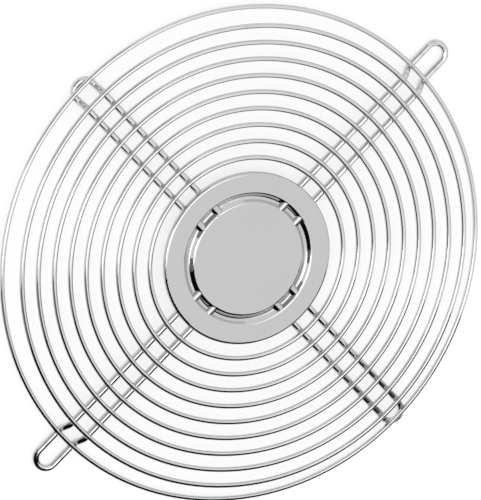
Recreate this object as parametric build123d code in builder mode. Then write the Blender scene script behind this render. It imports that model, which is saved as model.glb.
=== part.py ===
"""Wire fan guard: ten welded rings on four hairpin supports, with a pressed centre plate."""

import os
from math import radians, tan

from build123d import *

os.makedirs("parts", exist_ok=True)

# The guard lies face up. Z is zero where the mounting loops rest, and the fan axis is Z.
ring_wire = 2.5
support_wire = 3.4
weld_depth = 0.45

# Rings, spaced by their wire centrelines. The outermost one sits low, on the mounting level.
front_ring_count = 9
plate_gap = 7.0
ring_pitch = 8.0
outer_ring_gap = 8.3

# Supports: each is one wire folded in two. Past the last front ring it steps down to the
# mounting level, runs straight for a way and turns back in a round loop.
leg_spacing = 10.8
leg_past_groove = 3.9
step_height = 4.65
long_step_clearance = 1.94
long_step_angle = 45.0
long_bend_radius = 3.4
long_loop_straight = 12.7
short_step_clearance = 0.41
short_step_angle = 60.0
short_bend_radius = 2.6
short_loop_straight = 0.2

# Centre plate, pressed from sheet. Its rim turns down onto the legs.
sheet = 1.0
plate_radius = 42.8
rim_height = 2.2
press_radius = 1.3
plate_border = 10.1
groove_depth = 1.6
groove_wall_angle = 42.0
groove_flat = 0.3
saddle_radius = 2.5
saddle_sink = 0.2
saddle_inset = 0.2

# Radii and levels that follow from the sizes above
first_ring_radius = plate_radius + plate_gap
last_front_radius = first_ring_radius + (front_ring_count - 1) * ring_pitch
outer_ring_radius = last_front_radius + outer_ring_gap
groove_run = groove_depth / tan(radians(groove_wall_angle))
groove_bend = press_radius * tan(radians(groove_wall_angle / 2))
groove_outer_radius = plate_radius - plate_border
groove_inner_radius = groove_outer_radius - 2 * (groove_run + groove_bend) - groove_flat
leg_inner_end = groove_inner_radius - leg_past_groove
half_spacing = leg_spacing / 2
contact_height = (ring_wire + support_wire) / 2 - weld_depth
mounting_level = support_wire / 2
leg_level = mounting_level + step_height
front_ring_level = leg_level + contact_height
outer_ring_level = mounting_level + contact_height
plate_top = front_ring_level + ring_wire / 2

# Rings, each a closed hoop of round wire
rings = []
for number in range(1, front_ring_count + 2):
    is_outer = number > front_ring_count
    radius = outer_ring_radius if is_outer else first_ring_radius + (number - 1) * ring_pitch
    level = outer_ring_level if is_outer else front_ring_level
    with BuildPart() as guard_ring:
        with Locations((0, 0, level)):
            Torus(radius, ring_wire / 2)
    guard_ring.part.label = f"guard_ring_{number:02d}"
    export_step(guard_ring.part, f"parts/{guard_ring.part.label}.step")
    rings.append(guard_ring.part)

# Centre plate: a turned sheet section, with a saddle over each leg where it passes the groove
floor_top = plate_top - groove_depth
groove_middle = (groove_outer_radius + groove_inner_radius) / 2
saddle_length = groove_outer_radius - groove_inner_radius - 2 * saddle_inset
saddle_distance = (groove_middle**2 - half_spacing**2) ** 0.5
saddle_centre = plate_top - saddle_sink - saddle_radius

with BuildPart() as centre_plate:
    with BuildSketch(Plane.XZ):
        with BuildLine():
            face_line = FilletPolyline(
                (0, plate_top),
                (groove_inner_radius, plate_top),
                (groove_inner_radius + groove_run, floor_top),
                (groove_outer_radius - groove_run, floor_top),
                (groove_outer_radius, plate_top),
                (plate_radius, plate_top),
                (plate_radius, plate_top - rim_height),
                radius=press_radius,
            )
            offset(face_line, amount=sheet, side=Side.RIGHT)
        make_face()
    revolve(axis=Axis.Z)
    with PolarLocations(0, 4, start_angle=45):
        with Locations(
            (saddle_distance, half_spacing, saddle_centre),
            (saddle_distance, -half_spacing, saddle_centre),
        ):
            Cylinder(saddle_radius, saddle_length, rotation=(0, 90, 0))
    split(bisect_by=Plane.XY.offset(floor_top - sheet), keep=Keep.TOP)
    with PolarLocations(0, 4, start_angle=45):
        with Locations(
            (saddle_distance, half_spacing, saddle_centre),
            (saddle_distance, -half_spacing, saddle_centre),
        ):
            Cylinder(
                saddle_radius - sheet,
                2 * saddle_length,
                rotation=(0, 90, 0),
                mode=Mode.SUBTRACT,
            )
centre_plate.part.label = "centre_plate"
export_step(centre_plate.part, "parts/centre_plate.step")

# Supports are drawn with the legs along X, then turned to their corner.
# Each ring and the plate rim sit in a shallow welded seat in the wire.
welded_parts = rings + [Rot(0, 0, 45) * centre_plate.part]


def support(step_clearance, step_angle, bend_radius, loop_straight):
    """Folded wire whose legs step down before they meet in a round loop."""
    upper_corner = last_front_radius + step_clearance
    lower_corner = upper_corner + step_height / tan(radians(step_angle))
    loop_centre = lower_corner + bend_radius * tan(radians(step_angle / 2)) + loop_straight
    with BuildPart() as folded_wire:
        with BuildLine() as path:
            near_leg = FilletPolyline(
                (leg_inner_end, half_spacing, leg_level),
                (upper_corner, half_spacing, leg_level),
                (lower_corner, half_spacing, mounting_level),
                (loop_centre, half_spacing, mounting_level),
                radius=bend_radius,
            )
            ThreePointArc(
                (loop_centre, half_spacing, mounting_level),
                (loop_centre + half_spacing, 0, mounting_level),
                (loop_centre, -half_spacing, mounting_level),
            )
            mirror(near_leg, about=Plane.XZ)
        with BuildSketch(Plane(origin=near_leg @ 0, z_dir=near_leg % 0)):
            Circle(support_wire / 2)
        sweep(path=path.wire())
        for piece in welded_parts:
            add(piece, mode=Mode.SUBTRACT)
    return folded_wire.part


long_support = support(long_step_clearance, long_step_angle, long_bend_radius, long_loop_straight)
short_support = support(short_step_clearance, short_step_angle, short_bend_radius, short_loop_straight)

corners = {
    "long_support_upper_right": (long_support, 45),
    "short_support_upper_left": (short_support, 135),
    "long_support_lower_left": (long_support, 225),
    "short_support_lower_right": (short_support, 315),
}
for name, (shape, angle) in corners.items():
    placed = Rot(0, 0, angle) * shape
    placed.label = name
    export_step(placed, f"parts/{name}.step")
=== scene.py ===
"""Wire fan guard: ten bright rings welded to four hairpin supports, with a pressed plate in the middle."""

from math import cos, radians, sin

import bpy
from mathutils import Matrix

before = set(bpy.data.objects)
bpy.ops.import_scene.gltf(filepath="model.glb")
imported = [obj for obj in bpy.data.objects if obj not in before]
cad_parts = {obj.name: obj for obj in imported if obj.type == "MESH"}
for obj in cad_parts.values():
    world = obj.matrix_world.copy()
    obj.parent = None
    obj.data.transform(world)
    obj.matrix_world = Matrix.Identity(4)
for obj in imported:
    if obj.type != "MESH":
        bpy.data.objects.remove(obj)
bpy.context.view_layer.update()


# Camera. A long lens looks down from beyond the guard's upper left, 27 degrees from square on.
# The two supports with long loops run from the picture's lower left to its upper right.
scene = bpy.context.scene
camera_data = bpy.data.cameras.new("camera")
camera_data.sensor_width = 36.0
camera_data.lens = 322.47
camera_data.clip_end = 20.0
camera = bpy.data.objects.new("camera", camera_data)
scene.collection.objects.link(camera)
camera.matrix_world = Matrix((
    (0.9253, 0.0522, -0.3755, -0.80567),
    (0.0522, 0.9634, 0.2627, 0.56545),
    (0.3755, -0.2627, 0.8888, 1.90714),
    (0.0, 0.0, 0.0, 1.0),
))
bpy.context.scene.camera = camera


# Room. White light comes from all round, with two soft lamps high up.
# The camera sees the room pure white, and so do bright metal and glass.
scene.view_settings.view_transform = "Standard"


def math_step(tree, operation, *values, clamp=False):
    """One sum in a shader tree, worked out from sockets or plain numbers."""
    step = tree.nodes.new("ShaderNodeMath")
    step.operation = operation
    step.use_clamp = clamp
    for place, value in enumerate(values):
        if isinstance(value, (int, float)):
            step.inputs[place].default_value = value
        else:
            tree.links.new(value, step.inputs[place])
    return step.outputs[0]


def is_seen(tree):
    """1 where the camera, a reflection or clear glass looks, and 0 for light on its way to the guard."""
    ray = tree.nodes.new("ShaderNodeLightPath")
    camera_or_gloss = math_step(tree, "MAXIMUM", ray.outputs["Is Camera Ray"], ray.outputs["Is Glossy Ray"])
    return math_step(tree, "MAXIMUM", camera_or_gloss, ray.outputs["Is Transmission Ray"])


room = bpy.data.worlds.new("white_room")
room.use_nodes = True
scene.world = room
room_tree = room.node_tree
room_tree.nodes.clear()
room_light = room_tree.nodes.new("ShaderNodeBackground")
room_light.inputs["Color"].default_value = (0.97, 0.98, 1.0, 1.0)
room_light.inputs["Strength"].default_value = 0.9
room_white = room_tree.nodes.new("ShaderNodeBackground")
room_white.inputs["Color"].default_value = (1.0, 1.0, 1.0, 1.0)
room_white.inputs["Strength"].default_value = 1.0
room_mix = room_tree.nodes.new("ShaderNodeMixShader")
room_out = room_tree.nodes.new("ShaderNodeOutputWorld")
room_tree.links.new(is_seen(room_tree), room_mix.inputs[0])
room_tree.links.new(room_light.outputs[0], room_mix.inputs[1])
room_tree.links.new(room_white.outputs[0], room_mix.inputs[2])
room_tree.links.new(room_mix.outputs[0], room_out.inputs["Surface"])


def soft_lamp(name, azimuth, elevation, distance, width, height, power):
    """A studio softbox in a given direction, with its face to the guard's middle."""
    data = bpy.data.lights.new(name, "AREA")
    data.shape = "RECTANGLE"
    data.size, data.size_y = width, height
    data.energy = power
    lamp = bpy.data.objects.new(name, data)
    scene.collection.objects.link(lamp)
    round_guard, up = radians(azimuth), radians(elevation)
    stand = (distance * cos(up) * cos(round_guard), distance * cos(up) * sin(round_guard), distance * sin(up))
    face_round = Matrix.Rotation(round_guard + radians(90), 4, "Z")
    face_down = Matrix.Rotation(radians(90) - up, 4, "X")
    lamp.matrix_world = Matrix.Translation(stand) @ face_round @ face_down


soft_lamp("lamp_high_left", azimuth=188, elevation=60, distance=1.5, width=0.75, height=0.5, power=2.1)
soft_lamp("lamp_overhead", azimuth=-30, elevation=80, distance=1.5, width=0.5, height=0.5, power=1.2)


# Screens. They stand round the guard for the metal to reflect, and nothing else sees them.
# The low grey wall tones the wire, the black flag and the two dark wings beside it draw the dark line
# along each ring's lower left side, and the screen by the camera darkens the supports.
screen_panels = 24


def upright_screen(name, first, last, distance, low, high, grey):
    """A screen bent round the guard from one azimuth to another, between two heights in metres."""
    corners, panels = [], []
    for i in range(screen_panels + 1):
        a = radians(first + (last - first) * i / screen_panels)
        corners += [(distance * cos(a), distance * sin(a), low), (distance * cos(a), distance * sin(a), high)]
    for i in range(screen_panels):
        panels.append((2 * i, 2 * i + 2, 2 * i + 3, 2 * i + 1))
    mesh = bpy.data.meshes.new(name)
    mesh.from_pydata(corners, [], panels)
    screen = bpy.data.objects.new(name, mesh)
    scene.collection.objects.link(screen)
    for unseen_by in ("visible_camera", "visible_diffuse", "visible_shadow", "visible_transmission"):
        setattr(screen, unseen_by, False)
    paint = bpy.data.materials.new(name)
    paint.use_nodes = True
    paint_tree = paint.node_tree
    paint_tree.nodes.clear()
    glow = paint_tree.nodes.new("ShaderNodeEmission")
    glow.inputs["Color"].default_value = (grey, grey, grey, 1.0)
    paint_out = paint_tree.nodes.new("ShaderNodeOutputMaterial")
    paint_tree.links.new(glow.outputs[0], paint_out.inputs["Surface"])
    mesh.materials.append(paint)


upright_screen("grey_wall", 0, 360, distance=1.2, low=0.0, high=0.5, grey=0.72)
upright_screen("grey_screen_by_camera", 108, 162, distance=0.8, low=0.28, high=0.95, grey=0.30)
upright_screen("dark_wing_right", 305, 340, distance=0.17, low=0.0, high=0.16, grey=0.12)
upright_screen("dark_wing_left", 190, 207, distance=0.17, low=0.0, high=0.15, grey=0.20)
upright_screen("black_flag", 207, 305, distance=0.17, low=0.0, high=0.25, grey=0.003)


# Floor. A white table top under the guard, the same white as the room.
# A third of that white is light that falls on it, so it still keeps the soft shadow of the wire.
half_floor = 2.0
floor_mesh = bpy.data.meshes.new("floor")
floor_mesh.from_pydata(
    [(-half_floor, -half_floor, 0), (half_floor, -half_floor, 0),
     (half_floor, half_floor, 0), (-half_floor, half_floor, 0)], [], [(0, 1, 2, 3)])
floor = bpy.data.objects.new("floor", floor_mesh)
scene.collection.objects.link(floor)

own_white = 0.71
table_white = bpy.data.materials.new("table_white")
table_white.use_nodes = True
table_tree = table_white.node_tree
table_tree.nodes.clear()
table_matt = table_tree.nodes.new("ShaderNodeBsdfDiffuse")
table_matt.inputs["Color"].default_value = (0.34, 0.34, 0.34, 1.0)
table_glow = table_tree.nodes.new("ShaderNodeEmission")
table_glow.inputs["Color"].default_value = (1.0, 1.0, 1.0, 1.0)
table_tree.links.new(math_step(table_tree, "MULTIPLY", is_seen(table_tree), own_white),
                     table_glow.inputs["Strength"])
table_sum = table_tree.nodes.new("ShaderNodeAddShader")
table_out = table_tree.nodes.new("ShaderNodeOutputMaterial")
table_tree.links.new(table_matt.outputs[0], table_sum.inputs[0])
table_tree.links.new(table_glow.outputs[0], table_sum.inputs[1])
table_tree.links.new(table_sum.outputs[0], table_out.inputs["Surface"])
floor_mesh.materials.append(table_white)


# Rings. Ten hoops of drawn steel wire, butt-welded shut and plated bright after welding.
# They lie across the supports, spot-welded at each crossing, where the plating is a little dull.
def group_socket(tree, name, kind, way, value=None):
    """One named input or output of a shader group."""
    made = tree.interface.new_socket(name=name, in_out=way, socket_type=kind)
    if value is not None:
        made.default_value = value


plating = bpy.data.node_groups.new("plating", "ShaderNodeTree")
group_socket(plating, "Metal Color", "NodeSocketColor", "INPUT", (0.8, 0.8, 0.81, 1.0))
group_socket(plating, "Dull Color", "NodeSocketColor", "INPUT", (0.62, 0.62, 0.63, 1.0))
group_socket(plating, "Cloud Scale", "NodeSocketFloat", "INPUT", 60.0)
group_socket(plating, "Pit Scale", "NodeSocketFloat", "INPUT", 1500.0)
group_socket(plating, "Roughness Low", "NodeSocketFloat", "INPUT", 0.14)
group_socket(plating, "Roughness High", "NodeSocketFloat", "INPUT", 0.24)
group_socket(plating, "Weld Mask", "NodeSocketFloat", "INPUT", 0.0)
group_socket(plating, "Drawn Along", "NodeSocketVector", "INPUT")
group_socket(plating, "Line Scale", "NodeSocketFloat", "INPUT", 8000.0)
group_socket(plating, "Color", "NodeSocketColor", "OUTPUT")
group_socket(plating, "Roughness", "NodeSocketFloat", "OUTPUT")
group_socket(plating, "Height", "NodeSocketFloat", "OUTPUT")

# Dull clouds and weld spots change the plating's colour
cloud_share = 0.35
plating_nodes, plating_links = plating.nodes, plating.links
plating_in = plating_nodes.new("NodeGroupInput")
plating_out = plating_nodes.new("NodeGroupOutput")
part_coords = plating_nodes.new("ShaderNodeTexCoord")
cloud = plating_nodes.new("ShaderNodeTexNoise")
cloud.inputs["Detail"].default_value = 4.0
cloud.inputs["Roughness"].default_value = 0.55
plating_links.new(part_coords.outputs["Object"], cloud.inputs["Vector"])
plating_links.new(plating_in.outputs["Cloud Scale"], cloud.inputs["Scale"])
cloud_edge = plating_nodes.new("ShaderNodeMapRange")
cloud_edge.inputs["From Min"].default_value = 0.45
cloud_edge.inputs["From Max"].default_value = 0.85
plating_links.new(cloud.outputs["Fac"], cloud_edge.inputs["Value"])
cloud_part = math_step(plating, "MULTIPLY", cloud_edge.outputs["Result"], cloud_share)
dull_share = math_step(plating, "MAXIMUM", cloud_part, plating_in.outputs["Weld Mask"], clamp=True)
metal_mix = plating_nodes.new("ShaderNodeMix")
metal_mix.data_type = "RGBA"
plating_links.new(dull_share, metal_mix.inputs["Factor"])
plating_links.new(plating_in.outputs["Metal Color"], metal_mix.inputs["A"])
plating_links.new(plating_in.outputs["Dull Color"], metal_mix.inputs["B"])
plating_links.new(metal_mix.outputs["Result"], plating_out.inputs["Color"])

# Fine pits, and the lines that the drawing or rolling left, change its relief and its gloss
line_relief = 0.6
line_haze = 0.5
pits = plating_nodes.new("ShaderNodeTexNoise")
pits.inputs["Detail"].default_value = 2.0
plating_links.new(part_coords.outputs["Object"], pits.inputs["Vector"])
plating_links.new(plating_in.outputs["Pit Scale"], pits.inputs["Scale"])
drawn_lines = plating_nodes.new("ShaderNodeTexNoise")
drawn_lines.inputs["Detail"].default_value = 2.0
plating_links.new(plating_in.outputs["Drawn Along"], drawn_lines.inputs["Vector"])
plating_links.new(plating_in.outputs["Line Scale"], drawn_lines.inputs["Scale"])
plating_links.new(math_step(plating, "MULTIPLY_ADD", drawn_lines.outputs["Fac"], line_relief, pits.outputs["Fac"]),
                  plating_out.inputs["Height"])
haze = math_step(plating, "MULTIPLY_ADD", drawn_lines.outputs["Fac"], line_haze, dull_share, clamp=True)
gloss_range = plating_nodes.new("ShaderNodeMapRange")
plating_links.new(haze, gloss_range.inputs["Value"])
plating_links.new(plating_in.outputs["Roughness Low"], gloss_range.inputs["To Min"])
plating_links.new(plating_in.outputs["Roughness High"], gloss_range.inputs["To Max"])
plating_links.new(gloss_range.outputs["Result"], plating_out.inputs["Roughness"])

# The weld spots lie where a leg and a ring cross: found with the guard's axes turned along the supports
weld_spots = bpy.data.node_groups.new("weld_spots", "ShaderNodeTree")
group_socket(weld_spots, "First Radius", "NodeSocketFloat", "INPUT", 0.0498)
group_socket(weld_spots, "Pitch", "NodeSocketFloat", "INPUT", 0.008)
group_socket(weld_spots, "Leg Offset", "NodeSocketFloat", "INPUT", 0.0054)
group_socket(weld_spots, "Spot", "NodeSocketFloat", "INPUT", 0.0022)
group_socket(weld_spots, "Mask", "NodeSocketFloat", "OUTPUT")
supports_turn = -45
weld_in = weld_spots.nodes.new("NodeGroupInput")
weld_out = weld_spots.nodes.new("NodeGroupOutput")
weld_coords = weld_spots.nodes.new("ShaderNodeTexCoord")
weld_turn = weld_spots.nodes.new("ShaderNodeVectorRotate")
weld_turn.rotation_type = "Z_AXIS"
weld_turn.inputs["Angle"].default_value = radians(supports_turn)
weld_spots.links.new(weld_coords.outputs["Object"], weld_turn.inputs["Vector"])
weld_axes = weld_spots.nodes.new("ShaderNodeSeparateXYZ")
weld_spots.links.new(weld_turn.outputs[0], weld_axes.inputs[0])


def off_leg(across):
    """How far a point is from the nearer leg of a support, measured across it."""
    off_middle = math_step(weld_spots, "ABSOLUTE", across)
    return math_step(weld_spots, "ABSOLUTE",
                     math_step(weld_spots, "SUBTRACT", off_middle, weld_in.outputs["Leg Offset"]))


def hypotenuse(one, other):
    """The distance that two lengths at right angles make."""
    return math_step(weld_spots, "SQRT", math_step(
        weld_spots, "ADD", math_step(weld_spots, "MULTIPLY", one, one),
        math_step(weld_spots, "MULTIPLY", other, other)))


from_leg = math_step(weld_spots, "MINIMUM", off_leg(weld_axes.outputs["Y"]), off_leg(weld_axes.outputs["X"]))
from_axis = hypotenuse(weld_axes.outputs["X"], weld_axes.outputs["Y"])
past_first_ring = math_step(weld_spots, "SUBTRACT", from_axis, weld_in.outputs["First Radius"])
rings_out = math_step(weld_spots, "DIVIDE", past_first_ring, weld_in.outputs["Pitch"])
off_ring = math_step(weld_spots, "SUBTRACT", rings_out, math_step(weld_spots, "ROUND", rings_out))
from_ring = math_step(weld_spots, "MULTIPLY", math_step(weld_spots, "ABSOLUTE", off_ring),
                      weld_in.outputs["Pitch"])
spot_edge = weld_spots.nodes.new("ShaderNodeMapRange")
spot_edge.interpolation_type = "SMOOTHSTEP"
spot_edge.inputs["To Min"].default_value = 0.8
spot_edge.inputs["To Max"].default_value = 0.0
weld_spots.links.new(
    math_step(weld_spots, "DIVIDE", hypotenuse(from_leg, from_ring), weld_in.outputs["Spot"]),
    spot_edge.inputs["Value"])
weld_spots.links.new(spot_edge.outputs["Result"], weld_out.inputs["Mask"])


def plated_metal(name, metal, dull, cloud_scale, pit_scale, gloss, bump, bump_depth, welded):
    """Bright plated steel: cloudy dull patches, fine pits and, on the wire, grey weld spots."""
    finish = bpy.data.materials.new(name)
    finish.use_nodes = True
    nodes, links = finish.node_tree.nodes, finish.node_tree.links
    surface = nodes["Principled BSDF"]
    surface.inputs["Metallic"].default_value = 1.0
    coat = nodes.new("ShaderNodeGroup")
    coat.node_tree = plating
    coat.inputs["Metal Color"].default_value = (*metal, 1.0)
    coat.inputs["Dull Color"].default_value = (*dull, 1.0)
    coat.inputs["Cloud Scale"].default_value = cloud_scale
    coat.inputs["Pit Scale"].default_value = pit_scale
    coat.inputs["Roughness Low"].default_value, coat.inputs["Roughness High"].default_value = gloss
    if welded:
        spots = nodes.new("ShaderNodeGroup")
        spots.node_tree = weld_spots
        links.new(spots.outputs["Mask"], coat.inputs["Weld Mask"])
    links.new(coat.outputs["Color"], surface.inputs["Base Color"])
    links.new(coat.outputs["Roughness"], surface.inputs["Roughness"])
    ripple = nodes.new("ShaderNodeBump")
    ripple.inputs["Strength"].default_value = bump
    ripple.inputs["Distance"].default_value = bump_depth
    links.new(coat.outputs["Height"], ripple.inputs["Height"])
    links.new(ripple.outputs["Normal"], surface.inputs["Normal"])
    return finish, coat


def drawn_round(finish, coat):
    """Runs the drawing lines round the fan axis, each one a long way before it fades."""
    along_ring = 0.001
    tree = finish.node_tree
    own = tree.nodes.new("ShaderNodeTexCoord")
    own_axes = tree.nodes.new("ShaderNodeSeparateXYZ")
    tree.links.new(own.outputs["Object"], own_axes.inputs[0])
    angle = math_step(tree, "ARCTAN2", own_axes.outputs["Y"], own_axes.outputs["X"])
    flat_place = tree.nodes.new("ShaderNodeVectorMath")
    flat_place.operation = "MULTIPLY"
    flat_place.inputs[1].default_value = (1.0, 1.0, 0.0)
    tree.links.new(own.outputs["Object"], flat_place.inputs[0])
    radius = tree.nodes.new("ShaderNodeVectorMath")
    radius.operation = "LENGTH"
    tree.links.new(flat_place.outputs[0], radius.inputs[0])
    round_place = tree.nodes.new("ShaderNodeCombineXYZ")
    tree.links.new(math_step(tree, "MULTIPLY", angle, along_ring), round_place.inputs["X"])
    tree.links.new(radius.outputs["Value"], round_place.inputs["Y"])
    tree.links.new(own_axes.outputs["Z"], round_place.inputs["Z"])
    tree.links.new(round_place.outputs[0], coat.inputs["Drawn Along"])


bright_wire = {
    "metal": (0.66, 0.66, 0.665),
    "dull": (0.50, 0.50, 0.505),
    "gloss": (0.04, 0.16),
    "bump": 0.08,
    "welded": True,
}
ring_finish, ring_coat = plated_metal(
    "plated_ring_wire", cloud_scale=90.0, pit_scale=2500.0, bump_depth=0.00003, **bright_wire)
drawn_round(ring_finish, ring_coat)
for name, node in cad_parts.items():
    if name.startswith("guard_ring"):
        node.material_slots[0].material = ring_finish


# Supports. Four hairpins of thicker bright wire, each bent round a pin to a loop for the mounting screw,
# then stepped down to the fan. The upper right and lower left ones are longer.
# Drawing leaves fine lines that run along the wire.
def drawn_straight(finish, coat, turn, squeeze):
    """Runs the drawing lines straight: turns the part's own axes, then draws the lines out along one."""
    tree = finish.node_tree
    own = tree.nodes.new("ShaderNodeTexCoord")
    own_turned = tree.nodes.new("ShaderNodeVectorRotate")
    own_turned.rotation_type = "Z_AXIS"
    own_turned.inputs["Angle"].default_value = radians(turn)
    drawn_out = tree.nodes.new("ShaderNodeVectorMath")
    drawn_out.operation = "MULTIPLY"
    drawn_out.inputs[1].default_value = squeeze
    tree.links.new(own.outputs["Object"], own_turned.inputs["Vector"])
    tree.links.new(own_turned.outputs[0], drawn_out.inputs[0])
    tree.links.new(drawn_out.outputs[0], coat.inputs["Drawn Along"])


support_runs = {"long_support": (0.01, 1.0, 1.0), "short_support": (1.0, 0.01, 1.0)}
for kind, squeeze in support_runs.items():
    support_finish, support_coat = plated_metal(
        f"plated_{kind}", cloud_scale=70.0, pit_scale=2000.0, bump_depth=0.00004, **bright_wire)
    drawn_straight(support_finish, support_coat, supports_turn, squeeze)
    for name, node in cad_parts.items():
        if name.startswith(kind):
            node.material_slots[0].material = support_finish


# Centre plate. A disc of plated sheet, pressed with a ring groove that eight saddles bridge,
# one over each leg, and with its rim turned down onto the legs and welded there.
# Its finish is smoother than the wire's and a little darker, with faint rolling lines.
plate_finish, plate_coat = plated_metal(
    "plated_sheet", metal=(0.575, 0.575, 0.58), dull=(0.53, 0.53, 0.535), cloud_scale=40.0, pit_scale=900.0,
    gloss=(0.05, 0.11), bump=0.04, bump_depth=0.00003, welded=False)
plate_coat.inputs["Line Scale"].default_value = 3000.0
drawn_straight(plate_finish, plate_coat, 20, (0.02, 1.0, 1.0))
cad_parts["centre_plate"].material_slots[0].material = plate_finish
